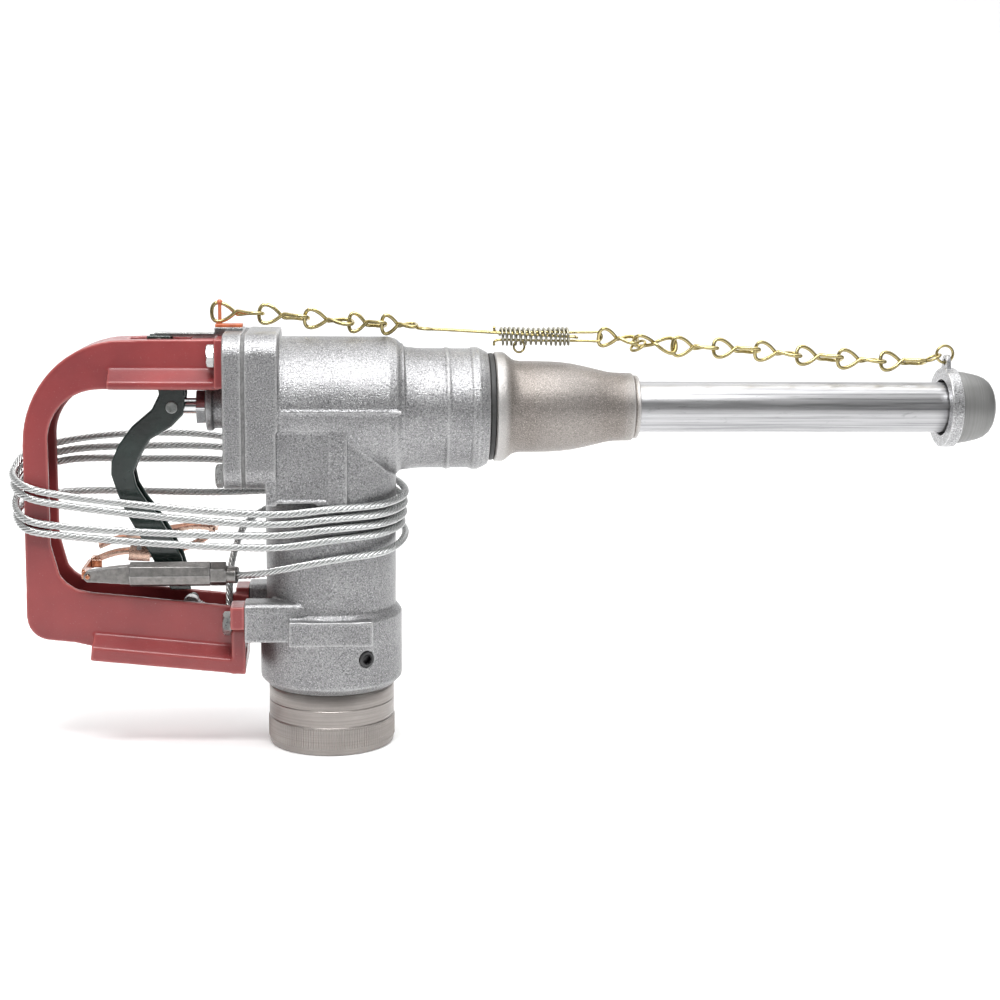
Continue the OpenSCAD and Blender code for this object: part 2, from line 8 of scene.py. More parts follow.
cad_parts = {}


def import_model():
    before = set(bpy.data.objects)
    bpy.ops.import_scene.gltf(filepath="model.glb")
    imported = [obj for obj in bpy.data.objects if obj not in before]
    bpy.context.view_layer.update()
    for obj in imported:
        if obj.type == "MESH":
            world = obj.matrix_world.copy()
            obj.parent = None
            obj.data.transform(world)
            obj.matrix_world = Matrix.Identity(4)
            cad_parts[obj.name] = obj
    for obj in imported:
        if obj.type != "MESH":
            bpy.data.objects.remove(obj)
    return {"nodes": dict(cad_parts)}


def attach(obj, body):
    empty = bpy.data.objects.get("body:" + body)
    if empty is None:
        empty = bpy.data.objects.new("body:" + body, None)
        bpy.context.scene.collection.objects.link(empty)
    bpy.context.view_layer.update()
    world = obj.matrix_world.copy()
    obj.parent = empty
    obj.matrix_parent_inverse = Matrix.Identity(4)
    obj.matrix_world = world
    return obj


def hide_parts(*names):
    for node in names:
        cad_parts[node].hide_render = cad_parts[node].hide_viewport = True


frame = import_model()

random.seed(7)
NODES = frame["nodes"]
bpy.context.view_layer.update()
scene = bpy.context.scene
FZ = 0.212
MM = 0.001


# ------------------------------------------------------------------ camera
def make_camera():
    C = Vector((10.585, -1090.41, 340.504)) * MM
    A = Vector((105.329, 0.0, 153.056)) * MM
    fw = (A - C).normalized()
    rt = fw.cross(Vector((0, 0, 1))).normalized()
    up = rt.cross(fw)
    roll = math.radians(0.695)
    r2 = math.cos(roll) * rt + math.sin(roll) * up
    u2 = -math.sin(roll) * rt + math.cos(roll) * up
    cam = bpy.data.cameras.new("camera")
    cam.sensor_width = 36
    cam.lens = 1771.97 / 1000 * 36
    cam.clip_start = 0.05
    cam.clip_end = 50
    ob = bpy.data.objects.new("camera", cam)
    m = Matrix((
        (r2.x, u2.x, -fw.x, C.x),
        (r2.y, u2.y, -fw.y, C.y),
        (r2.z, u2.z, -fw.z, C.z),
        (0, 0, 0, 1)))
    ob.matrix_world = m
    scene.collection.objects.link(ob)
    scene.camera = ob


make_camera()


# ------------------------------------------------------------------ materials
class Mat:
    """A small node graph: object coordinates, noises, ramps and one Principled shader."""

    def __init__(self, name, base, metallic=0.0, rough=0.5, **k):
        m = bpy.data.materials.new(name)
        m.use_nodes = True
        self.m = m
        nt = m.node_tree
        self.nt = nt
        self.b = nt.nodes["Principled BSDF"]
        self.b.inputs["Base Color"].default_value = (*base, 1)
        self.b.inputs["Metallic"].default_value = metallic
        self.b.inputs["Roughness"].default_value = rough
        for key, v in k.items():
            self.b.inputs[key.replace("_", " ")].default_value = v
        self.tc = nt.nodes.new("ShaderNodeTexCoord")
        m.diffuse_color = (*base, 1)

    def n(self, kind, **props):
        node = self.nt.nodes.new(kind)
        for k, v in props.items():
            setattr(node, k, v)
        return node

    def link(self, a, b):
        self.nt.links.new(a, b)

    def coord(self, scale=(1, 1, 1), rot=(0, 0, 0)):
        mp = self.n("ShaderNodeMapping")
        mp.inputs["Scale"].default_value = scale
        mp.inputs["Rotation"].default_value = rot
        self.link(self.tc.outputs["Object"], mp.inputs["Vector"])
        return mp.outputs["Vector"]

    def noise(self, scale, detail=4, rough=0.6, vec=None, distortion=0.0):
        t = self.n("ShaderNodeTexNoise")
        t.inputs["Scale"].default_value = scale
        t.inputs["Detail"].default_value = detail
        t.inputs["Roughness"].default_value = rough
        t.inputs["Distortion"].default_value = distortion
        self.link(vec or self.tc.outputs["Object"], t.inputs["Vector"])
        return t.outputs["Fac"]

    def voronoi(self, scale, vec=None, feature="F1"):
        t = self.n("ShaderNodeTexVoronoi", feature=feature)
        t.inputs["Scale"].default_value = scale
        self.link(vec or self.tc.outputs["Object"], t.inputs["Vector"])
        return t.outputs["Distance"]

    def ramp(self, fac, stops):
        r = self.n("ShaderNodeValToRGB")
        e = r.color_ramp.elements
        while len(e) < len(stops):
            e.new(0.5)
        for i, (p, c) in enumerate(stops):
            e[i].position = p
            e[i].color = (*c, 1) if len(c) == 3 else c
        self.link(fac, r.inputs["Fac"])
        return r.outputs["Color"]

    def mix(self, fac, a, b, blend="MIX"):
        x = self.n("ShaderNodeMix", data_type="RGBA", blend_type=blend)
        for sock, v in ((x.inputs[0], fac), (x.inputs[6], a), (x.inputs[7], b)):
            if isinstance(v, (int, float)):
                sock.default_value = v
            elif isinstance(v, tuple):
                sock.default_value = (*v, 1)
            else:
                self.link(v, sock)
        return x.outputs[2]

    def maprange(self, fac, a, b, lo=0.0, hi=1.0):
        x = self.n("ShaderNodeMapRange")
        x.inputs["From Min"].default_value = lo
        x.inputs["From Max"].default_value = hi
        x.inputs["To Min"].default_value = a
        x.inputs["To Max"].default_value = b
        self.link(fac, x.inputs["Value"])
        return x.outputs["Result"]

    def math(self, op, a, b):
        x = self.n("ShaderNodeMath", operation=op)
        for i, v in enumerate((a, b)):
            if isinstance(v, (int, float)):
                x.inputs[i].default_value = v
            else:
                self.link(v, x.inputs[i])
        return x.outputs[0]

    def edge(self, lo=0.50, hi=0.56):
        g = self.n("ShaderNodeNewGeometry")
        return self.maprange(g.outputs["Pointiness"], 0, 1, lo, hi)

    def color(self, sock):
        self.link(sock, self.b.inputs["Base Color"])

    def rough(self, sock):
        self.link(sock, self.b.inputs["Roughness"])

    def bump(self, *layers):
        """layers: (height socket, strength, distance in metres)"""
        prev = None
        for h, s, d in layers:
            x = self.n("ShaderNodeBump")
            x.inputs["Strength"].default_value = s
            x.inputs["Distance"].default_value = d
            self.link(h, x.inputs["Height"])
            if prev is not None:
                self.link(prev, x.inputs["Normal"])
            prev = x.outputs["Normal"]
        self.link(prev, self.b.inputs["Normal"])


def cast_metal(name, light, dark, speck, metallic=0.8, grain=1500, strength=0.6, r=(0.30, 0.46)):
    m = Mat(name, light, metallic, 0.4)
    fine = m.noise(grain, 2, 0.6)
    cell = m.voronoi(grain * 0.8)
    broad = m.noise(30, 4, 0.6)
    mott = m.noise(grain * 0.62, 3, 0.65)
    base = m.ramp(broad, [(0.30, dark), (0.66, light)])
    spots = m.ramp(mott, [(0.34, (0.85, 0.85, 0.85)), (0.50, (0.22, 0.22, 0.22)), (0.58, (0, 0, 0))])
    col = m.mix(spots, base, speck)
    glint = m.ramp(fine, [(0.56, (0, 0, 0)), (0.66, (0.7, 0.7, 0.7))])
    col = m.mix(glint, col, tuple(min(1.0, c * 1.9) for c in light))
    col = m.mix(m.math("MULTIPLY", m.edge(), 0.45), col, (0.80, 0.80, 0.80))
    m.color(col)
    m.rough(m.maprange(mott, r[0], r[1], 0.3, 0.7))
    m.bump((m.noise(110, 3, 0.5), 0.25, 0.0008), (cell, strength * 0.6, 0.00030), (fine, strength, 0.00030), (mott, 0.5, 0.0004))
    return m.m


def paint_red():
    m = Mat("red_paint", (0.30, 0.045, 0.046), 0.0, 0.34, Coat_Weight=0.35, Coat_Roughness=0.22)
    broad = m.noise(22, 4, 0.55)
    col = m.ramp(broad, [(0.3, (0.205, 0.028, 0.031)), (0.7, (0.30, 0.042, 0.042))])
    chips = m.ramp(m.noise(520, 4, 0.7), [(0.60, (0, 0, 0)), (0.68, (1, 1, 1))])
    worn = m.math("MULTIPLY", m.edge(0.53, 0.60), chips)
    # painted highlight: the convex edges are mixed towards a lighter red
    col = m.mix(m.math("MULTIPLY", m.edge(0.505, 0.56), 0.55), col, (0.66, 0.20, 0.18))
    col = m.mix(m.math("MULTIPLY", worn, 0.6), col, (0.62, 0.44, 0.42))
    dust = m.ramp(m.noise(900, 2, 0.5), [(0.66, (0, 0, 0)), (0.74, (1, 1, 1))])
    col = m.mix(m.math("MULTIPLY", dust, 0.12), col, (0.75, 0.5, 0.48))
    m.color(col)
    m.rough(m.maprange(m.noise(160, 4, 0.6), 0.28, 0.46, 0.3, 0.7))
    m.bump((m.noise(240, 3, 0.5), 0.16, 0.0006), (m.noise(1100, 2, 0.5), 0.12, 0.0002))
    return m.m


def turned(name, col, dark, axis, metallic=1.0, r=(0.18, 0.34), lines=2600, strength=0.2, streak=0.5):
    """Lathe-turned or drawn metal. axis 0 is X, 2 is Z: fine lines run round that axis."""
    m = Mat(name, col, metallic, 0.25)
    sc = [14, 14, 14]
    sc[axis] = lines
    v = m.coord(tuple(sc))
    ringn = m.noise(1.0, 3, 0.6, v)
    broad = m.noise(46, 4, 0.6)
    c = m.mix(m.math("MULTIPLY", m.ramp(broad, [(0.35, (0, 0, 0)), (0.7, (1, 1, 1))]), streak), col, dark)
    c = m.mix(m.math("MULTIPLY", m.ramp(ringn, [(0.45, (0, 0, 0)), (0.62, (1, 1, 1))]), 0.35), c, dark)
    m.color(c)
    m.rough(m.maprange(ringn, r[0], r[1], 0.3, 0.7))
    m.bump((ringn, strength, 0.00012), (m.noise(700, 3, 0.6), 0.12, 0.0002))
    return m.m


def drawn_tube():
    m = Mat("tube_aluminium", (0.58, 0.58, 0.59), 1.0, 0.22)
    v = m.coord((6, 520, 520))
    streak = m.noise(1.0, 5, 0.65, v)
    v2 = m.coord((30, 1500, 1500))
    fine = m.noise(1.0, 3, 0.6, v2)
    scr = m.ramp(m.noise(1.0, 6, 0.75, m.coord((60, 240, 240), (0.0, 0.25, 0.35)), 1.2), [(0.60, (0, 0, 0)), (0.66, (1, 1, 1))])
    c = m.ramp(streak, [(0.30, (0.24, 0.24, 0.25)), (0.5, (0.48, 0.48, 0.49)), (0.72, (0.60, 0.60, 0.61))])
    c = m.mix(m.math("MULTIPLY", scr, 0.45), c, (0.26, 0.26, 0.27))
    m.color(c)
    m.rough(m.maprange(fine, 0.27, 0.44, 0.3, 0.7))
    m.bump((streak, 0.18, 0.0003), (fine, 0.12, 0.0001), (scr, -0.1, 0.0002))
    return m.m


def plain_metal(name, col, dark, r=(0.2, 0.4), metallic=1.0, scale=260, strength=0.2, wear=(0.85, 0.85, 0.85)):
    m = Mat(name, col, metallic, 0.3)
    n1 = m.noise(scale, 5, 0.65)
    c = m.ramp(n1, [(0.32, dark), (0.62, col)])
    c = m.mix(m.math("MULTIPLY", m.edge(), 0.5), c, wear)
    m.color(c)
    m.rough(m.maprange(m.noise(scale * 2.3, 4, 0.6), r[0], r[1], 0.3, 0.7))
    m.bump((n1, strength, 0.0003), (m.noise(scale * 6, 2, 0.5), strength * 0.7, 0.0001))
    return m.m


def rubber(name, col=(0.02, 0.02, 0.02)):
    m = Mat(name, col, 0.0, 0.55)
    n1 = m.noise(420, 4, 0.6)
    m.color(m.ramp(n1, [(0.3, col), (0.7, tuple(c * 2.2 + 0.006 for c in col))]))
    m.rough(m.maprange(n1, 0.42, 0.68, 0.3, 0.7))
    m.bump((n1, 0.25, 0.0002))
    return m.m


def gloss_black():
    m = Mat("lever_paint", (0.018, 0.028, 0.025), 0.0, 0.16, Coat_Weight=0.6, Coat_Roughness=0.08)
    n1 = m.noise(60, 4, 0.6)
    c = m.ramp(n1, [(0.3, (0.006, 0.010, 0.009)), (0.7, (0.016, 0.030, 0.026))])
    # painted highlight: the convex edges are mixed towards a lighter green
    c = m.mix(m.math("MULTIPLY", m.edge(0.51, 0.56), 0.35), c, (0.10, 0.15, 0.135))
    c = m.mix(m.math("MULTIPLY", m.math("MULTIPLY", m.edge(0.53, 0.6), m.ramp(m.noise(700, 4, 0.7), [(0.5, (0, 0, 0)), (0.6, (1, 1, 1))])), 0.7), c, (0.35, 0.33, 0.30))
    m.color(c)
    m.rough(m.maprange(m.noise(300, 4, 0.6), 0.12, 0.3, 0.3, 0.7))
    m.bump((m.noise(190, 3, 0.5), 0.2, 0.0006), (m.noise(1300, 2, 0.5), 0.08, 0.0002))
    return m.m


CAST = cast_metal("cast_aluminium", (0.385, 0.385, 0.39), (0.265, 0.265, 0.27), (0.11, 0.11, 0.115))
WARM = cast_metal("warm_casting", (0.315, 0.285, 0.262), (0.235, 0.212, 0.195), (0.13, 0.115, 0.105), metallic=0.7, grain=1900, strength=0.42, r=(0.34, 0.50))
RED = paint_red()
TUBE = drawn_tube()
SWIV = turned("machined_aluminium", (0.36, 0.333, 0.315), (0.235, 0.217, 0.203), 2, r=(0.26, 0.42), lines=1800)
SWIVX = turned("machined_aluminium_x", (0.66, 0.66, 0.66), (0.5, 0.5, 0.5), 0, r=(0.2, 0.36))
DULL = turned("dull_aluminium", (0.30, 0.30, 0.295), (0.22, 0.22, 0.215), 0, metallic=0.75, r=(0.42, 0.6), lines=1500, strength=0.3)
RINGM = cast_metal("ring_aluminium", (0.50, 0.50, 0.51), (0.38, 0.38, 0.385), (0.22, 0.22, 0.22), grain=1300, strength=0.35, r=(0.22, 0.42))
LEVER = gloss_black()
ZINC = plain_metal("zinc_steel", (0.33, 0.34, 0.33), (0.18, 0.19, 0.185), (0.22, 0.42), wear=(0.7, 0.7, 0.7))
CHROME = plain_metal("polished_steel", (0.66, 0.66, 0.67), (0.50, 0.50, 0.52), (0.05, 0.14), scale=120, strength=0.06)
BLACKST = plain_metal("black_steel", (0.025, 0.025, 0.027), (0.012, 0.012, 0.013), (0.3, 0.5), metallic=0.6, wear=(0.12, 0.12, 0.12))
BRASS = plain_metal("brass", (0.29, 0.20, 0.055), (0.12, 0.08, 0.022), (0.14, 0.30), scale=330, wear=(0.80, 0.70, 0.36))
DARKSP = plain_metal("spring_steel", (0.20, 0.185, 0.125), (0.09, 0.082, 0.06), (0.22, 0.42), scale=420, wear=(0.62, 0.6, 0.5))
ORANGE = plain_metal("orange_paint", (0.62, 0.15, 0.055), (0.42, 0.09, 0.04), (0.35, 0.5), metallic=0.0, wear=(0.75, 0.35, 0.22))
GALV = plain_metal("galvanised_cable", (0.40, 0.42, 0.41), (0.17, 0.18, 0.175), (0.2, 0.4), scale=800, wear=(0.95, 0.95, 0.95))
BLOCK = plain_metal("block_steel", (0.27, 0.26, 0.25), (0.17, 0.165, 0.16), (0.28, 0.46), scale=300, wear=(0.6, 0.6, 0.6))
COPPER = plain_metal("copper", (0.47, 0.18, 0.095), (0.24, 0.08, 0.04), (0.14, 0.34), scale=260, wear=(0.98, 0.80, 0.68))
GASKET = rubber("rubber")
FIBRE = rubber("gasket_fibre", (0.10, 0.10, 0.10))
PACK = rubber("packing", (0.06, 0.055, 0.05))


# ------------------------------------------------------------------ mesh helpers
def obj(name, verts, faces, mat, smooth=35):
    me = bpy.data.meshes.new(name)
    me.from_pydata([tuple(v) for v in verts], [], faces)
    bm = bmesh.new()
    bm.from_mesh(me)
    bmesh.ops.remove_doubles(bm, verts=bm.verts, dist=1e-7)
    bmesh.ops.recalc_face_normals(bm, faces=bm.faces)
    bm.to_mesh(me)
    bm.free()
    me.materials.append(mat)
    ob = bpy.data.objects.new(name, me)
    scene.collection.objects.link(ob)
    shade(me, smooth)
    return ob


def shade(me, angle):
    me.polygons.foreach_set("use_smooth", [True] * len(me.polygons))
    if angle is None:
        return
    bm = bmesh.new()
    bm.from_mesh(me)
    lim = math.radians(angle)
    for e in bm.edges:
        if len(e.link_faces) == 2:
            e.smooth = e.calc_face_angle(0) < lim
    bm.to_mesh(me)
    bm.free()


def finish_piece(ob, body, *nodes, slot=None):
    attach(ob, body)
    if nodes:
        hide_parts(*nodes)
    return ob


def joined(name, obs, mat=None, smooth=35):
    """One object from several, modifiers applied."""
    dg = bpy.context.evaluated_depsgraph_get()
    bm = bmesh.new()
    for o in obs:
        me = bpy.data.meshes.new_from_object(o.evaluated_get(dg))
        me.transform(o.matrix_world)
        bm.from_mesh(me)
        bpy.data.meshes.remove(me)
    me = bpy.data.meshes.new(name)
    bm.to_mesh(me)
    bm.free()
    m = mat or obs[0].data.materials[0]
    me.materials.clear()
    me.materials.append(m)
    for p in me.polygons:
        p.material_index = 0
    for o in obs:
        bpy.data.objects.remove(o)
    ob = bpy.data.objects.new(name, me)
    scene.collection.objects.link(ob)
    shade(me, smooth)
    return ob


def lathe(name, prof, mat, axis="x", centre=(0, 0, FZ), seg=128, ripple=None, smooth=35):
    """prof: closed list of (along, radius) in mm; ripple(i, k) gives a change in radius in mm."""
    verts, faces = [], []
    n = len(prof)
    cx, cy, cz = centre
    for i in range(seg):
        a = 2 * math.pi * i / seg
        for k, (s, r) in enumerate(prof):
            rr = (r + (ripple(i, k) if ripple else 0)) * MM
            s_ = s * MM
            if axis == "x":
                verts.append((cx + s_, cy + rr * math.cos(a), cz + rr * math.sin(a)))
            elif axis == "z":
                verts.append((cx + rr * math.cos(a), cy + rr * math.sin(a), cz + s_))
            else:
                verts.append((cx + rr * math.cos(a), cy + s_, cz + rr * math.sin(a)))
    for i in range(seg):
        j = (i + 1) % seg
        for k in range(n):
            l = (k + 1) % n
            faces.append((i * n + k, j * n + k, j * n + l, i * n + l))
    return obj(name, verts, faces, mat, smooth)


def tube(name, pts, r, mat, sides=10, closed=False, radii=None, smooth=None):
    """A round tube along points in metres."""
    P = [Vector(p) for p in pts]
    n = len(P)
    T = []
    for i in range(n):
        a = P[(i - 1) % n] if closed or i else P[0]
        b = P[(i + 1) % n] if closed or i < n - 1 else P[-1]
        T.append((b - a).normalized())
    u = T[0].cross(Vector((0.13, 0.31, 0.94)))
    if u.length < 1e-3:
        u = T[0].cross(Vector((1, 0, 0)))
    u.normalize()
    U = []
    for t in T:
        u = (u - t * u.dot(t)).normalized()
        U.append(u.copy())
    if closed:
        # spread the leftover twist
        t0 = T[0]
        last = (U[-1] - t0 * U[-1].dot(t0)).normalized()
        ang = math.atan2(t0.dot(last.cross(U[0])), last.dot(U[0]))
        for i in range(n):
            U[i] = Matrix.Rotation(ang * i / (n - 1), 3, T[i]) @ U[i]
    verts, faces = [], []
    for i in range(n):
        v = T[i].cross(U[i])
        ri = radii[i] if radii else r
        for j in range(sides):
            a = 2 * math.pi * j / sides
            verts.append(P[i] + ri * (math.cos(a) * U[i] + math.sin(a) * v))
    m = n if closed else n - 1
    for i in range(m):
        for j in range(sides):
            a, b = i * sides + j, i * sides + (j + 1) % sides
            c, d = ((i + 1) % n) * sides + (j + 1) % sides, ((i + 1) % n) * sides + j
            faces.append((a, b, c, d))
    if not closed:
        faces.append(tuple(range(sides)))
        faces.append(tuple((n - 1) * sides + j for j in range(sides - 1, -1, -1)))
    return obj(name, verts, faces, mat, smooth)


def spline(P, step, closed=False):
    """Catmull-Rom through the points, resampled about every step metres."""
    P = [Vector(p) for p in P]
    out = []
    n = len(P)
    for i in range(n if closed else n - 1):
        p0 = P[(i - 1) % n] if closed or i else P[0] * 2 - P[1]
        p1, p2 = P[i], P[(i + 1) % n]
        p3 = P[(i + 2) % n] if closed or i < n - 2 else P[-1] * 2 - P[-2]
        # centripetal spacing keeps the line from bulging between uneven points
        t0 = 0.0
        t1 = t0 + max((p1 - p0).length, 1e-9) ** 0.5
        t2 = t1 + max((p2 - p1).length, 1e-9) ** 0.5
        t3 = t2 + max((p3 - p2).length, 1e-9) ** 0.5
        k = max(2, int(math.ceil((p2 - p1).length / step)))
        for j in range(k):
            t = t1 + (t2 - t1) * j / k
            a1 = p0 * ((t1 - t) / (t1 - t0)) + p1 * ((t - t0) / (t1 - t0))
            a2 = p1 * ((t2 - t) / (t2 - t1)) + p2 * ((t - t1) / (t2 - t1))
            a3 = p2 * ((t3 - t) / (t3 - t2)) + p3 * ((t - t2) / (t3 - t2))
            b1 = a1 * ((t2 - t) / (t2 - t0)) + a2 * ((t - t0) / (t2 - t0))
            b2 = a2 * ((t3 - t) / (t3 - t1)) + a3 * ((t - t1) / (t3 - t1))
            out.append(b1 * ((t2 - t) / (t2 - t1)) + b2 * ((t - t1) / (t2 - t1)))
    if not closed:
        out.append(P[-1].copy())
    return out


def box(name, a, b, mat, bevel=0.0, seg=3):
    a = Vector(a) * MM
    b = Vector(b) * MM
    v = [(x, y, z) for x in (a.x, b.x) for y in (a.y, b.y) for z in (a.z, b.z)]
    f = [(0, 1, 3, 2), (4, 6, 7, 5), (0, 4, 5, 1), (2, 3, 7, 6), (0, 2, 6, 4), (1, 5, 7, 3)]
    o = obj(name, v, f, mat, 30)
    if bevel:
        bev(o, bevel, seg)
    return o


def bev(o, w, seg=3, angle=30):
    """Bevels the sharp edges in the mesh itself."""
    bm = bmesh.new()
    bm.from_mesh(o.data)
    lim = math.radians(angle)
    es = [e for e in bm.edges if len(e.link_faces) == 2 and e.calc_face_angle(0) > lim]
    bmesh.ops.bevel(bm, geom=es, offset=w * MM, segments=seg, profile=0.5, affect="EDGES", clamp_overlap=True)
    bm.to_mesh(o.data)
    bm.free()
    shade(o.data, 40)


def soften(node, name, mat, body, voxel, iters=4, factor=0.5, lump=None, slot=None, extras=()):
    """A CAD node's own shape with cast or worn edges: voxel remesh, then smoothing."""
    src = NODES[node]
    me = src.data.copy()
    me.name = name
    me.materials.clear()
    me.materials.append(mat)
    o = bpy.data.objects.new(name, me)
    scene.collection.objects.link(o)
    bm = bmesh.new()
    bm.from_mesh(me)
    bmesh.ops.remove_doubles(bm, verts=bm.verts, dist=1e-6)
    for x in extras:
        bm.from_mesh(x.data)
    bm.to_mesh(me)
    bm.free()
    for x in extras:
        bpy.data.objects.remove(x)
    r = o.modifiers.new("remesh", "REMESH")
    r.mode = "VOXEL"
    r.voxel_size = voxel * MM
    r.use_smooth_shade = True
    s = o.modifiers.new("smooth", "SMOOTH")
    s.factor = factor
    s.iterations = iters
    dg = bpy.context.evaluated_depsgraph_get()
    me2 = bpy.data.meshes.new_from_object(o.evaluated_get(dg))
    o.modifiers.clear()
    o.data = me2
    me2.materials.clear()
    me2.materials.append(mat)
    for p in me2.polygons:
        p.material_index = 0
    if lump:
        me2.update()
        co = [0.0] * (3 * len(me2.vertices))
        no = [0.0] * (3 * len(me2.vertices))
        me2.vertices.foreach_get("co", co)
        me2.vertices.foreach_get("normal", no)
        from mathutils import noise as mn
        amp, sc = lump
        for i in range(len(me2.vertices)):
            p = Vector(co[3 * i:3 * i + 3])
            d = mn.noise(p * sc) * amp * MM + mn.noise(p * sc * 3.1) * amp * 0.4 * MM
            for k in range(3):
                co[3 * i + k] += no[3 * i + k] * d
        me2.vertices.foreach_set("co", co)
        me2.update()
    me2.polygons.foreach_set("use_smooth", [True] * len(me2.polygons))
    return finish_piece(o, body, node, slot=slot)


def give(node, mat):
    o = NODES[node]
    o.data.materials.clear()
    o.data.materials.append(mat)


# ------------------------------------------------------------------ bonding cable
CAB = [
    (-75, 0, 82), (-69, 2, 77.5), (-65.5, 8, 77), (-64.5, 12, 85), (-64.5, 16, 95), (-64, 24, 106), (-61, 31, 118), (-56, 37, 130),
    (-44, 42.5, 139.5), (-22, 44.6, 145.5), (0, 43.5, 147.2), (31, 31, 145), (44, 0, 140.5), (31, -31, 138.3), (0, -43.5, 136.1), (-34, -40, 131.2),
    (-163, -22.6, 136), (-181.6, -21.7, 139.2), (-189.5, -10, 143), (-192, 4, 146.8), (-186.1, 18, 151.5), (-166, 22.8, 155.2), (-70, 36.2, 152.5), (-30, 42.2, 153),
    (0, 44.5, 153.2), (33, 33, 151), (45, 0, 146.4), (31.5, -31.5, 144.4), (0, -43.8, 142.9), (-34, -40.2, 138.6), (-163, -22.8, 141.6), (-181.6, -21.9, 145.2),
    (-190, -10, 149.4), (-192.5, 4, 155), (-186.6, 18, 168), (-166, 22.8, 175), (-117, 34, 174.5), (-68, 44, 172), (-30, 46, 166), (0, 46, 160.5),
    (34, 34, 157.2), (45.4, 0, 152.6), (31.9, -31.9, 150.6), (0, -44, 149.1), (-34, -40.4, 145.4), (-163, -23, 154.8), (-181.6, -22.1, 159.2), (-190.5, -10, 162.8),
    (-193, 4, 166), (-187.1, 18, 174.2), (-166, 23, 181), (-117, 37.6, 182.2), (-68, 48.8, 179.5), (-30, 49.2, 172.5), (0, 49, 166.8), (35, 34.5, 163.3),
    (46, 0, 158.8), (32.2, -32.2, 156.6), (0, -44.3, 155.1), (-34, -40.7, 151.5), (-163, -23.2, 160.8), (-181.6, -22.4, 165.4), (-191, -10, 168.8), (-193.5, 4, 172),
    (-188.1, 18.5, 180.3), (-166, 24, 187), (-117, 41.5, 190), (-68, 54.2, 185.6), (-34, 54.9, 176.5), (-8, 54.8, 164.5), (8, 53, 154.5), (24, 46, 146),
    (39, 29, 138.6), (46.2, 3, 132.4), (33, -33, 127.6), (0, -43.6, 123.9), (-26, -41, 118.5), (-44, -33.5, 113.7), (-52, -27.3, 111.7), (-57, -25, 111.3),
]


def stranded_cable():
    line = spline([Vector(p) * MM for p in CAB], 0.0016)
    n = len(line)
    T = [(line[min(i + 1, n - 1)] - line[max(i - 1, 0)]).normalized() for i in range(n)]
    u = T[0].cross(Vector((0, 0.3, 0.95))).normalized()
    U = []
    for t in T:
        u = (u - t * u.dot(t)).normalized()
        U.append(u.copy())
    S = [0.0]
    for i in range(1, n):
        S.append(S[-1] + (line[i] - line[i - 1]).length)
    length = S[-1]
    verts, faces = [], []
    pitch, R, r = 0.021, 0.00162, 0.00076
    sides = 6
    for k in range(7):
        base = len(verts)
        for i in range(n):
            V = T[i].cross(U[i])
            if k < 6:
                a = 2 * math.pi * (k / 6 - S[i] / pitch)
                rad = math.cos(a) * U[i] + math.sin(a) * V
                tan = -math.sin(a) * U[i] + math.cos(a) * V
                c = line[i] + R * rad
                # the strand's own cross-section leans with its helix
                lean = math.atan(2 * math.pi * R / pitch)
                e2 = tan * math.cos(lean) + T[i] * math.sin(lean)
                rr = r
            else:
                c, rad, e2, rr = line[i], U[i], V, 0.0009
            for j in range(sides):
                b = 2 * math.pi * j / sides
                verts.append(c + rr * (math.cos(b) * rad + math.sin(b) * e2))
        for i in range(n - 1):
            for j in range(sides):
                a, b = base + i * sides + j, base + i * sides + (j + 1) % sides
                faces.append((a, b, b + sides, a + sides))
        faces.append(tuple(base + j for j in range(sides - 1, -1, -1)))
        faces.append(tuple(base + (n - 1) * sides + j for j in range(sides)))
    me = bpy.data.meshes.new("bonding_cable_strands")
    me.from_pydata([tuple(v) for v in verts], [], faces)
    me.materials.append(GALV)
    me.polygons.foreach_set("use_smooth", [True] * len(me.polygons))
    o = bpy.data.objects.new("bonding_cable_strands", me)
    scene.collection.objects.link(o)
    return o, line, length


cable, cable_line, cable_len = stranded_cable()

# ------------------------------------------------------------------ castings
ridges = [
    tube("r", [(-0.0370, -0.0424, 0.2132), (0, -0.0426, 0.2132), (0.0425, -0.0424, 0.2132)], 0.0013, CAST, 10),
    tube("r", [(-0.0370, -0.0424, 0.2132), (-0.0370, -0.0396, 0.2290), (-0.0370, -0.0300, 0.2425)], 0.0013, CAST, 10),
    tube("r", [(-0.0254, -0.0458, 0.0856), (0, -0.0460, 0.0856), (0.0254, -0.0458, 0.0856)], 0.0007, CAST, 8),
    lathe("r", [(69.6, 35), (69.6, 37.2), (70.4, 37.8), (71.6, 37.8), (72.4, 37.2), (72.4, 35)], CAST, "x", (0, 0, 0.211), 96),
    lathe("r", [(85.6, 35), (85.6, 37.3), (86.2, 37.9), (90.2, 37.9), (90.8, 37.3), (90.8, 35)], CAST, "x", (0, 0, 0.211), 96),
]
soften("body_casting", "body_casting_cast", CAST, "body", 0.75, 2, 0.5, (0.12, 45), slot="cast_aluminium", extras=ridges)
soften("rear_cap", "rear_cap_cast", CAST, "body", 0.7, 2, 0.5, (0.08, 60), slot="cast_aluminium")
soften("hand_guard", "hand_guard_painted", RED, "body", 0.75, 4, 0.5, (0.10, 40), slot="red_paint")
soften("lever", "lever_pressing", LEVER, "lever", 0.55, 3, 0.5, slot="lever_paint")
soften("fulcrum_link", "fulcrum_link_strap", ZINC, "body", 0.45, 2, 0.5, slot="zinc_steel")
soften("chain_hook", "chain_hook_piece", ORANGE, "body", 0.32, 2, 0.5, slot="orange_paint")
soften("cap_ring", "cap_ring_cast", RINGM, "dust_cap", 0.45, 3, 0.5, (0.06, 200), slot="tube_aluminium")
soften("packing_nut", "packing_nut_polished", CHROME, "body", 0.32, 2, 0.5, slot="polished_steel")
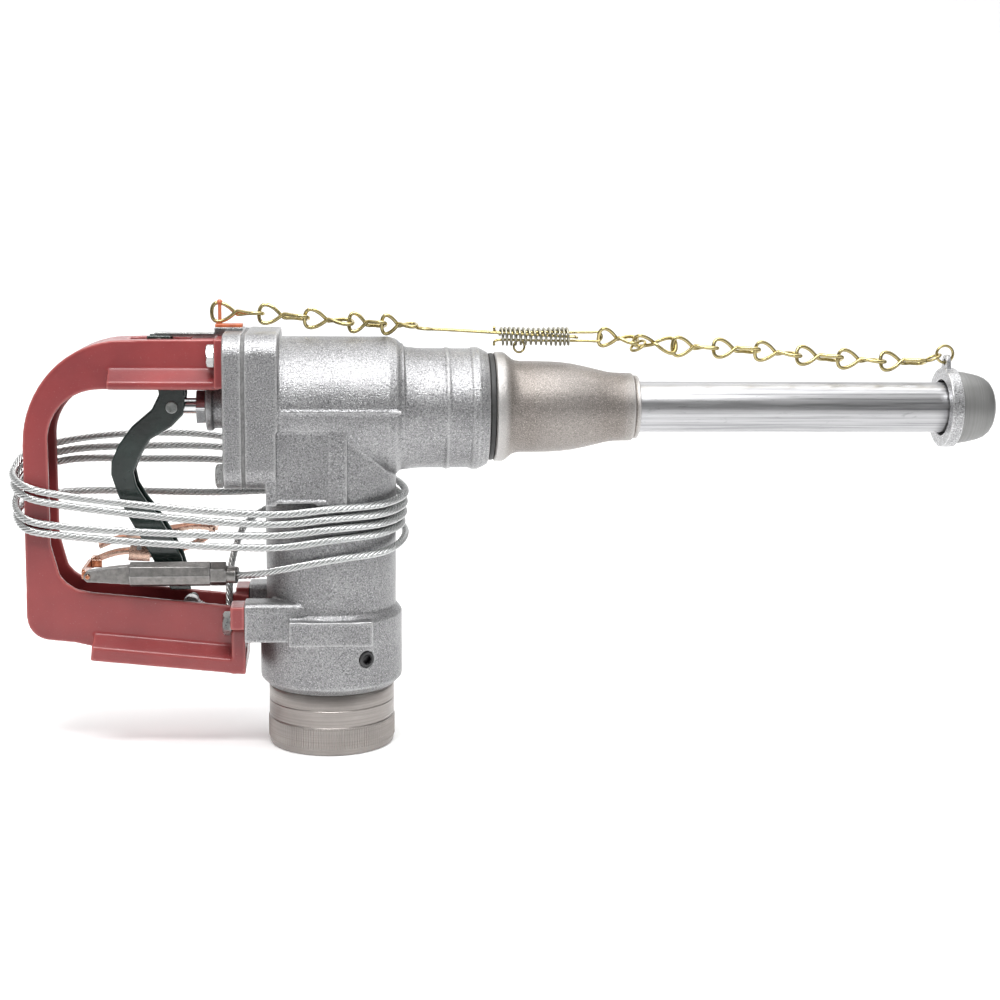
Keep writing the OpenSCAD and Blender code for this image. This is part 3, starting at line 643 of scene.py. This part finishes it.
soften("clamp_block", "clamp_block_body", BLOCK, "body", 0.4, 2, 0.5, slot="block_steel")
soften("gland_nut", "gland_nut_body", BLOCK, "body", 0.35, 2, 0.5, slot="block_steel")
soften("stem_pin", "stem_pin_rivet", ZINC, "lever", 0.3, 2, 0.5, slot="polished_steel")
soften("clip_link", "clip_link_strap", COPPER, "body", 0.3, 2, 0.5, slot="copper")


# ------------------------------------------------------------------ swivel
def swivel():
    ribs = 150
    prof = [(0, 28.6), (0, 37.6), (0.5, 38.6), (1.2, 39.0), (3.0, 39.1), (3.6, 39.3), (4.4, 39.7), (16.6, 39.7), (17.4, 39.3), (18.0, 38.9), (18.6, 39.2),
            (28.0, 39.2), (28.4, 38.9), (28.8, 39.2), (36.6, 39.2), (37.4, 38.8), (38.0, 38.0), (38.0, 36.3), (39.0, 35.9), (58.4, 35.9), (60.0, 33.6), (62.4, 33.6), (64.0, 35.9), (71.4, 35.9), (72, 35.3), (72, 27.2), (71.5, 26.5), (19.9, 26.5), (19.2, 27.4)]
    # thread roots inside the mouth
    th = []
    z = 19.0
    while z > 1.2:
        th += [(z, 28.9), (z - 1.1, 27.9 + 0.7)]
        z -= 2.2
    prof = prof + [(z_, r_) for z_, r_ in th]
    knurl = {6, 7}
    return lathe("inlet_swivel_turned", prof, SWIV, "z", (0, 0, 0), ribs * 2, lambda i, k: (-0.55 if i % 2 else 0.0) if k in knurl else 0.0, 30)


finish_piece(swivel(), "swivel", "inlet_swivel", slot="machined_aluminium")

# ------------------------------------------------------------------ spout, adapter, cap
ad = [(102.4, 23.5), (100.4, 26.7), (100.4, 33.0), (101.2, 33.9), (105.6, 33.9), (107.4, 33.0), (109.4, 31.2), (111.4, 29.6), (113.6, 28.7), (117, 28.3), (126, 28.3), (135, 28.1), (142, 27.7), (149, 26.8), (157, 25.2), (165, 23.3),
      (171, 21.9), (175, 21.4), (180, 21.2), (185.2, 21.2), (186.6, 20.9), (187.3, 20.1), (187.5, 19.3), (188.0, 19.6), (189.9, 19.6), (190.4, 19.1), (190.4, 15.9), (150, 15.9), (150, 14.4), (114, 23.5), (86, 23.5), (86, 26.7)]
ad = [p for p in ad if p != (102.4, 23.5)]
o = lathe("spout_adapter_cast", ad, WARM, "x", (0, 0, FZ), 144)
finish_piece(o, "body", "spout_adapter", slot="warm_casting")
o = lathe("spout_gasket_ring", [(96.6, 27.2), (96.6, 32.4), (97.2, 33.0), (98.4, 33.2), (99.6, 33.0), (100.2, 32.4), (100.2, 27.2)], GASKET, "x", (0, 0, FZ), 128)
finish_piece(o, "body", "spout_gasket", slot="rubber")
o = lathe("spout_tube_drawn", [(150.2, 14.225), (150.2, 15.875), (395.2, 15.875), (396, 15.2), (396, 14.8), (395.4, 14.225)], TUBE, "x", (0, 0, FZ), 128)
finish_piece(o, "body", "spout_tube", slot="tube_aluminium")
cap = [(392.6, 16.3), (392.6, 22.3), (393.3, 22.9), (394.6, 22.9), (399, 22.3), (404, 21.3), (408, 20.3), (411.4, 18.9), (414.0, 16.9), (415.8, 14.3), (417.2, 11.0), (418.0, 6), (417.9, 0.02), (399, 0.02), (399, 15.6), (398.4, 16.2)]
o = lathe("dust_cap_turned", cap, DULL, "x", (0, 0, FZ), 128)
finish_piece(o, "dust_cap", "dust_cap", slot="dull_aluminium")


# ------------------------------------------------------------------ fasteners
def hex_head(name, x1, t, y, z, R=7.33, mat=ZINC, turn=0.0, dish=True):
    """Hexagon head standing to -X of x1, with a chamfered crown and a washer face."""
    n = 48
    ap = R * math.cos(math.pi / 6)
    rows = []
    for s, kind in ((0, "w"), (0.5, "w"), (0.5, "h"), (t - 1.1, "h"), (t, "c"), (t, "d"), (t - 0.25, "e"), (t - 0.25, "o")):
        row = []
        for i in range(n):
            a = 2 * math.pi * i / n + turn
            b = (a - turn) % (math.pi / 3) - math.pi / 6
            hexr = ap / math.cos(b)
            if kind == "w":
                r = ap * 0.97
            elif kind == "h":
                r = hexr
            elif kind == "c":
                r = min(hexr, ap * 0.93)
            elif kind == "d":
                r = ap * 0.62
            elif kind == "e":
                r = ap * 0.56
            else:
                r = 0.01
            if kind == "h" and s > 1:
                # crown: corners are cut lower than the flats
                s_ = t - 0.35 - (hexr - ap) * 0.75
            else:
                s_ = s
            row.append(((x1 - s_) * MM, (y + r * math.cos(a)) * MM, (z + r * math.sin(a)) * MM))
        rows.append(row)
    verts = [v for r_ in rows for v in r_]
    faces = []
    for k in range(len(rows) - 1):
        for i in range(n):
            j = (i + 1) % n
            faces.append((k * n + i, k * n + j, (k + 1) * n + j, (k + 1) * n + i))
    faces.append(tuple(range(n)))
    return obj(name, verts, faces, mat, 28)


def bolts(name, node, x1, x_end, ys, z, turns):
    parts = []
    for y, tn in zip(ys, turns):
        parts.append(hex_head(name + "_h", x1, 5, y, z, turn=tn))
        parts.append(lathe(name + "_s", [(x1 + 0.01, 0.02), (x1 + 0.01, 3.9), (x_end - 1, 3.9), (x_end, 3.0), (x_end, 0.02)], ZINC, "x", (0, y * MM, z * MM), 32))
    o = joined(name, parts, ZINC, 28)
    finish_piece(o, "body", node, slot="zinc_steel")


bolts("cap_bolts_lower_hex", "cap_bolts_lower", -63.5, -34, (-30, 30), 173.3, (0.2, 0.5))
bolts("guard_bolts_upper_hex", "guard_bolts_upper", -68.4, -34, (-27, 27), 245.2, (0.05, 0.4))
bolts("guard_bolts_lower_hex", "guard_bolts_lower", -60.7, -31, (-28, 28), 82, (0.35, 0.1))


# ------------------------------------------------------------------ chains
def chain_link(p, q, roll, r=1.2, B=5.5):
    """Jack chain: one wire bent into two eyes at right angles. p and q are wire centres of its far ends, in mm."""
    p, q = Vector(p), Vector(q)
    c = (p + q) / 2
    d = (q - p)
    A = d.length / 2
    X = d.normalized()
    Y = Vector((0, 1, 0))
    Z = X.cross(Y).normalized()
    Y = Z.cross(X).normalized()
    e1 = math.cos(roll) * Y + math.sin(roll) * Z
    e2 = -math.sin(roll) * Y + math.cos(roll) * Z
    pts = []
    n = 56
    for i in range(n):
        t = 2 * math.pi * i / n
        x = A * math.cos(t)
        lat = B * math.sin(2 * t)
        # fuller eyes than a plain figure of eight
        lat *= 1.0 + 0.25 * abs(math.cos(t)) ** 6
        off = 1.15 * r * math.sin(t) * math.exp(-(x / (0.30 * A)) ** 2)
        e = e1 if x >= 0 else e2
        bis = (e1 - e2).normalized()
        pts.append((c + X * x + e * lat * (1 if x >= 0 else -1) + bis * off) * MM)
    return tube("link", pts, r * MM, BRASS, 8, True)


def chain_run(P, roll0=0.12, gap=-2.5):
    parts = []
    P = [Vector(p) for p in P]
    for i in range(len(P) - 1):
        u = (P[i + 1] - P[i]).normalized()
        parts.append(chain_link(P[i] + u * gap / 2, P[i + 1] - u * gap / 2, roll0 + random.uniform(-0.45, 0.35)))
    return parts


CH_L = [(-70.5, 0, 269.4), (-42, 0, 268.6), (-14.5, 0, 266), (12.5, 0, 263.6), (32.5, 0, 262.4), (51.5, 0, 262)]
CH_R = [(213, 0, 249.8), (239, 0, 249), (265.5, 0, 247.4), (292, 0, 244.8), (318.5, 0, 242.6), (346, 0, 241.2), (372.5, 0, 240.8)]
o = joined("chain_left_links", chain_run(CH_L), BRASS, None)
finish_piece(o, "body", "chain_left", slot="brass")


def ring_pts(c, R, a, b, n=40):
    c, a, b = Vector(c), Vector(a), Vector(b)
    return [(c + R * (math.cos(2 * math.pi * i / n) * a + math.sin(2 * math.pi * i / n) * b)) * MM for i in range(n)]


tl = math.radians(25)
parts = chain_run(CH_R)
parts.append(tube("l", ring_pts((378.6, 0, 243.4), 4.8, (math.cos(tl), 0, math.sin(tl)), (0, 1, 0)), 0.9 * MM, BRASS, 8, True))
parts.append(tube("l", ring_pts((386, 0, 245.8), 5.3, (1, 0, 0), (0, 0, 1)), 0.9 * MM, BRASS, 8, True))
o = joined("chain_right_links", parts, BRASS, None)
finish_piece(o, "dust_cap", "chain_right", slot="brass")


def drawbars():
    # left drawbar: one wire, an eye at the chain and two legs through the spring, hooked over its far end
    pts = []
    for k in range(25):
        a = math.radians(28 + (332 - 28) * k / 24)
        pts.append((57.5 + 4.8 * math.cos(a), 4.8 * math.sin(a), 260.0 + 0.07 * 4.8 * -math.cos(a)))
    legA = [(150.4, 2.6, 255.4), (151.2, 3.6, 255.4), (151.2, 6.0, 255.4)]
    legB = [(150.4, -2.6, 255.4), (151.2, -3.6, 255.4), (151.2, -6.0, 255.4)]
    route = legA[::-1] + [(110, 2.6, 257.4), (66, 2.4, 259.6)] + pts + [(66, -2.4, 259.6), (110, -2.6, 257.4)] + legB
    left = tube("drawbar_left_wire", spline([Vector(p) * MM for p in route], 0.0015), 0.85 * MM, BRASS, 8)
    finish_piece(left, "body", "drawbar_left", slot="brass")
    loop = []
    for k in range(17):
        a = math.radians(-65 + 130 * k / 16)
        loop.append((163.5 + 3.9 * math.cos(a), 0, 255.6 + 3.2 * math.sin(a)))
    route = [(100.4, 0, 249.8), (100.6, 0, 252.2), (102.0, 0, 253.0), (130, 0, 253.0), (160, 0, 252.9)] + loop + [(160, 0, 258.3), (130, 0, 258.2), (102.0, 0, 258.2), (100.6, 0, 259.0), (100.4, 0, 261.6)]
    right = tube("w", spline([Vector(p) * MM for p in route], 0.0015), 0.85 * MM, BRASS, 8)
    l1 = chain_link((165.4, 0, 255.6), (190.0, 0, 253.4), 0.3)
    l2 = chain_link((187.5, 0, 253.6), (214.2, 0, 249.8), 0.9)
    # a loose eye hanging on the bar, as spare chain
    l3 = tube("l", ring_pts((190.5, 1.5, 250.0), 4.9, (0.78, 0.2, 0.59), (-0.35, 0.93, 0.1)), 0.95 * MM, BRASS, 8, True)
    right = joined("drawbar_right_wire", [right, l1, l2, l3], BRASS, None)
    finish_piece(right, "dust_cap", "drawbar_right", slot="brass")
    # spring: close wound at the ends, open in the middle
    pts = []
    turns = 15.0
    n = int(turns * 22)
    x = 104.3
    for i in range(n + 1):
        u = i / n
        a = 2 * math.pi * turns * u
        rad = 5.0 + 0.25 * math.sin(3 * u * math.pi)
        pts.append(Vector((x, rad * math.cos(a), 255.6 + rad * math.sin(a))) * MM)
        open_ = 1.0 - math.exp(-((u - 0.5) / 0.42) ** 6) * 0.35
        x += (146.6 - 104.3) / n * (0.78 + 0.44 * (math.sin(math.pi * u) ** 0.7)) * 0.928
    sp = tube("drawbar_spring_coil", pts, 0.8 * MM, DARKSP, 8)
    # a loose brass eye caught on the spring
    finish_piece(sp, "body", "drawbar_spring", slot="spring_steel")
    eye = tube("spring_eye", ring_pts((116, 0, 249.4), 3.6, (0.95, 0.3, 0), (0, 0.15, 1)), 0.7 * MM, BRASS, 8, True)
    finish_piece(eye, "body", slot="brass")


drawbars()


# ------------------------------------------------------------------ ferrule, clip, small parts
def ferrule():
    a = Vector((-75, 0, 82)) * MM
    d = Vector((-0.866, 0, 0.5))
    u = Vector((0, 1, 0))
    v = d.cross(u)
    verts, faces = [], []
    seg = 32
    prof = [(0, 2.45), (0, 3.4), (0.4, 3.8)]
    s = 0.8
    while s < 10.6:
        prof += [(s, 4.0), (s + 0.55, 3.95), (s + 0.8, 3.35), (s + 1.1, 3.35), (s + 1.35, 3.95)]
        s += 1.5
    prof += [(s, 3.9), (s + 0.5, 3.2), (s + 0.5, 0.02)]
    prof = [(0.0, 0.02)] + prof
    n = len(prof)
    for i in range(seg):
        an = 2 * math.pi * i / seg
        for sx, r in prof:
            verts.append(a + d * sx * MM + (math.cos(an) * u + math.sin(an) * v) * r * MM)
    for i in range(seg):
        j = (i + 1) % seg
        for k in range(n - 1):
            faces.append((i * n + k, j * n + k, j * n + k + 1, i * n + k + 1))
    f = obj("f", verts, faces, RINGM, 35)
    eye = lathe("e", [(-3.4, 2.05), (-4, 2.6), (-4, 4.5), (-3.5, 5.0), (3.5, 5.0), (4, 4.5), (4, 2.6), (3.4, 2.05)], RINGM, "y", (-0.087, 0, 0.0885), 48)
    return joined("cable_ferrule_crimp", [f, eye], RINGM, 35)


fer = finish_piece(ferrule(), "body", "cable_ferrule", slot="tube_aluminium")
anchor = lathe("cable_anchor_rivet", [(-18.4, 0.02), (-18.4, 1.9), (-15.5, 1.95), (-15.4, 3.3), (-14.6, 3.5), (-14.2, 3.0), (-14.1, 1.95), (14.1, 1.95), (14.2, 3.0), (14.6, 3.5), (15.4, 3.3), (15.5, 1.95), (18.4, 1.9), (18.4, 0.02)], ZINC, "y", (-0.087, 0, 0.0885), 40)
finish_piece(anchor, "body", "cable_anchor", slot="zinc_steel")


def plug():
    """Black socket set screw in the boss."""
    o = lathe("p", [(39.5, 0.02), (39.5, 4.95), (44.2, 4.95), (44.8, 4.4), (44.8, 3.2), (44.4, 3.0), (44.4, 2.9), (41.8, 2.9), (41.8, 0.02)], BLACKST, "x", (0, 0, 0), 6 * 8,
              ripple=lambda i, k: (0.0 if k not in (6, 7) else -0.35 * (1 - abs(((i % 8) - 4)) / 4.0)), smooth=28)
    o.data.transform(Matrix.Translation((0, 0, 0.0612)) @ Matrix.Rotation(math.radians(-60.6), 4, "Z"))
    o.name = "ball_plug_screw"
    return o


finish_piece(plug(), "body", "ball_plug", slot="black_steel")


def strip(name, mid, w, t, mat, y0, crown=0.0):
    """Pressed strip: a centre line in x and z (mm), width w along Y, thickness t, edges turned by crown."""
    line = spline([Vector((p[0], 0, p[1])) * MM for p in mid], 0.0015)
    n = len(line)
    cols = 9
    verts, faces = [], []
    for side in (0, 1):
        for i in range(n):
            d = (line[min(i + 1, n - 1)] - line[max(i - 1, 0)]).normalized()
            nrm = Vector((-d.z, 0, d.x))
            for j in range(cols):
                q = j / (cols - 1) * 2 - 1
                wi = w(i / (n - 1)) if callable(w) else w
                off = (-crown * q * q + (t / 2 if side else -t / 2)) * MM
                verts.append(line[i] + nrm * off + Vector((0, (y0 + q * wi / 2) * MM, 0)))
    N = n * cols
    for side in (0, 1):
        for i in range(n - 1):
            for j in range(cols - 1):
                a = side * N + i * cols + j
                faces.append((a, a + 1, a + cols + 1, a + cols))
    for i in range(n - 1):
        for j in (0, cols - 1):
            a = i * cols + j
            faces.append((a, a + cols, N + a + cols, N + a))
    for i in (0, n - 1):
        for j in range(cols - 1):
            a = i * cols + j
            faces.append((a, a + 1, N + a + 1, N + a))
    return obj(name, verts, faces, mat, 40)


def clip():
    Y = 20

    def wl(u):
        return 8.5 + 1.5 * math.sin(u * math.pi)
    low = [strip("s", [(-149.4, 110.6), (-146, 111.6), (-141, 113.6), (-134, 115.6), (-126, 116.4), (-112, 115.8), (-97, 117.1), (-85, 121.2), (-76, 126.8), (-74.4, 128.2)], wl, 1.5, COPPER, Y, -2.2)]
    # turned-up square end with its wire tongue
    low.append(box("b", (-150.2, Y - 5.4, 107.8), (-148.2, Y + 5.4, 114.6), COPPER, 0.6))
    for s in (-1, 1):
        low.append(cheek([(-127, 112.8), (-113.6, 112.2), (-113.4, 118), (-114.2, 122), (-116.6, 125.6), (-120, 126.6), (-123.4, 125.6), (-126, 121)], Y + s * 5.8, 0.8))
    for i in range(7):
        for s in (-1, 1):
            low.append(tooth(-93 + i * 3.0, 119.0 + i * 1.35, Y + s * 3.9, 1))
    o = joined("clip_lower_half", low, COPPER, 40)
    finish_piece(o, "body", "clip_lower", slot="copper")
    up = [strip("s", [(-145.6, 122.6), (-137, 126.2), (-128, 128.4), (-120, 130.8), (-108, 132.4), (-96, 134.2), (-84, 135.4), (-76, 134.2), (-72.2, 132.2)], wl, 1.5, COPPER, Y, 2.2)]
    for s in (-1, 1):
        up.append(cheek([(-127.4, 129.2), (-112.6, 133.2), (-114.4, 122), (-117, 118.0), (-120, 117.2), (-123, 118.0), (-125.6, 122)], Y + s * 3.9, 0.8))
    for i in range(7):
        for s in (-1, 1):
            up.append(tooth(-93 + i * 3.0, 133.6 - 0.01 * (i - 3) ** 2, Y + s * 3.9, -1))
    # rolled nose
    up.append(tube("t", [Vector((-72.0, Y - 4.6, 132.4)) * MM, Vector((-71.9, Y, 132.5)) * MM, Vector((-72.0, Y + 4.6, 132.4)) * MM], 0.95 * MM, COPPER, 12))
    o = joined("clip_upper_half", up, COPPER, 40)
    finish_piece(o, "clip_jaw", "clip_upper", slot="copper")
    # torsion spring between the cheeks
    pts = []
    for i in range(5 * 18 + 1):
        a = 2 * math.pi * i / 18
        pts.append(Vector((-120 + 2.35 * math.cos(a), Y - 2.4 + 4.8 * i / 90, 121 + 2.35 * math.sin(a))) * MM)
    pts += [Vector((-123, Y + 2.3, 122.2)) * MM, Vector((-130, Y + 2.2, 123.8)) * MM]
    sp = tube("clip_spring_coil", pts, 0.42 * MM, ZINC, 8)
    finish_piece(sp, "body", "clip_spring", slot="zinc_steel")
    return bpy.data.objects["clip_lower_half"], bpy.data.objects["clip_upper_half"], sp


def cheek(poly, y, t):
    n = len(poly)
    verts = [Vector((p[0], y - t, p[1])) * MM for p in poly] + [Vector((p[0], y + t, p[1])) * MM for p in poly]
    faces = [tuple(range(n)), tuple(range(2 * n - 1, n - 1, -1))] + [(i, (i + 1) % n, n + (i + 1) % n, n + i) for i in range(n)]
    o = obj("c", verts, faces, COPPER, 40)
    bev(o, 0.3, 2)
    return o


def tooth(x, z, y, s):
    v = [(x - 1.2, y - 0.5, z), (x + 1.2, y - 0.5, z), (x, y - 0.4, z + 2.3 * s), (x - 1.2, y + 0.5, z), (x + 1.2, y + 0.5, z), (x, y + 0.4, z + 2.3 * s)]
    f = [(0, 1, 2), (3, 5, 4), (0, 3, 4, 1), (1, 4, 5, 2), (2, 5, 3, 0)]
    return obj("t", [Vector(p) * MM for p in v], f, COPPER, 30)


clow, cup, cspr = clip()

# ------------------------------------------------------------------ bonding cable, attached to the body
finish_piece(cable, "body", "bonding_cable", slot="galvanised_cable")

# ------------------------------------------------------------------ carried-over CAD nodes
for node, mat in {
    "cap_gasket": FIBRE, "stem_packing": PACK, "valve_seat": BRASS, "poppet_spring": ZINC, "fulcrum_pin": ZINC,
    "swivel_balls": CHROME, "swivel_seal": GASKET, "inlet_strainer": ZINC, "stem": CHROME, "poppet_disc": SWIVX, "poppet_seal": GASKET,
    "poppet_nut": ZINC, "clip_pin": ZINC,
}.items():
    give(node, mat)


# ------------------------------------------------------------------ studio
def studio():
    m = bpy.data.materials.new("studio_floor")
    m.use_nodes = True
    b = m.node_tree.nodes["Principled BSDF"]
    b.inputs["Base Color"].default_value = (0.93, 0.93, 0.93, 1)
    b.inputs["Roughness"].default_value = 0.9
    b.inputs["Specular IOR Level"].default_value = 0.1
    b.inputs["Emission Color"].default_value = (1, 1, 1, 1)
    b.inputs["Emission Strength"].default_value = 0.16
    # a floor that sweeps up into a backdrop well behind the object
    prof = [(-3.0, 0.0), (1.6, 0.0)]
    for i in range(1, 13):
        a = math.radians(90 * i / 12)
        prof.append((1.6 + 0.9 * math.sin(a), 0.9 - 0.9 * math.cos(a)))
    prof.append((2.5, 3.2))
    verts, faces = [], []
    for x in (-4, 4):
        verts += [(x, y, z) for y, z in prof]
    n = len(prof)
    for i in range(n - 1):
        faces.append((i, i + 1, n + i + 1, n + i))
    me = bpy.data.meshes.new("studio_floor")
    me.from_pydata(verts, [], faces)
    me.materials.append(m)
    me.polygons.foreach_set("use_smooth", [True] * len(me.polygons))
    o = bpy.data.objects.new("studio_floor", me)
    scene.collection.objects.link(o)

    def area(name, loc, aim, size, power, sy=None):
        l = bpy.data.lights.new(name, "AREA")
        l.shape = "RECTANGLE"
        l.size = size
        l.size_y = sy or size
        l.energy = power
        ob = bpy.data.objects.new(name, l)
        ob.location = loc
        ob.rotation_euler = (Vector(aim) - Vector(loc)).to_track_quat("-Z", "Y").to_euler()
        scene.collection.objects.link(ob)
        return ob
    area("key_top", (0.15, -0.10, 1.25), (0.1, 0, 0.15), 1.4, 7.5, 0.6)
    area("front_strip", (-0.02, -0.50, 0.92), (0.0, 0, 0.24), 0.7, 6.2, 0.16)
    area("left", (-1.3, -0.7, 0.75), (0.0, 0, 0.2), 0.5, 0.9, 1.0)
    area("right", (1.4, -0.7, 0.9), (0.15, 0, 0.2), 0.6, 1.2, 1.0)
    area("back", (0.1, 1.2, 1.6), (0.1, 2.2, 0.2), 2.4, 26)
    w = bpy.data.worlds.new("studio_world")
    w.use_nodes = True
    nt = w.node_tree
    bg = nt.nodes["Background"]
    tc = nt.nodes.new("ShaderNodeTexCoord")
    sep = nt.nodes.new("ShaderNodeSeparateXYZ")
    nt.links.new(tc.outputs["Generated"], sep.inputs[0])
    r = nt.nodes.new("ShaderNodeValToRGB")
    e = r.color_ramp.elements
    e[0].position, e[0].color = 0.0, (0.14, 0.14, 0.145, 1)
    e[1].position, e[1].color = 1.0, (0.62, 0.62, 0.62, 1)
    for pos, c in ((0.12, 0.13), (0.34, 0.17), (0.62, 0.42)):
        q = e.new(pos)
        q.color = (c, c, c, 1)
    nt.links.new(sep.outputs["Z"], r.inputs["Fac"])
    nt.links.new(r.outputs["Color"], bg.inputs["Color"])
    bg.inputs["Strength"].default_value = 1.0
    scene.world = w
    scene.view_settings.view_transform = "Standard"
    scene.view_settings.look = "None"
    scene.view_settings.exposure = 0.0


studio()
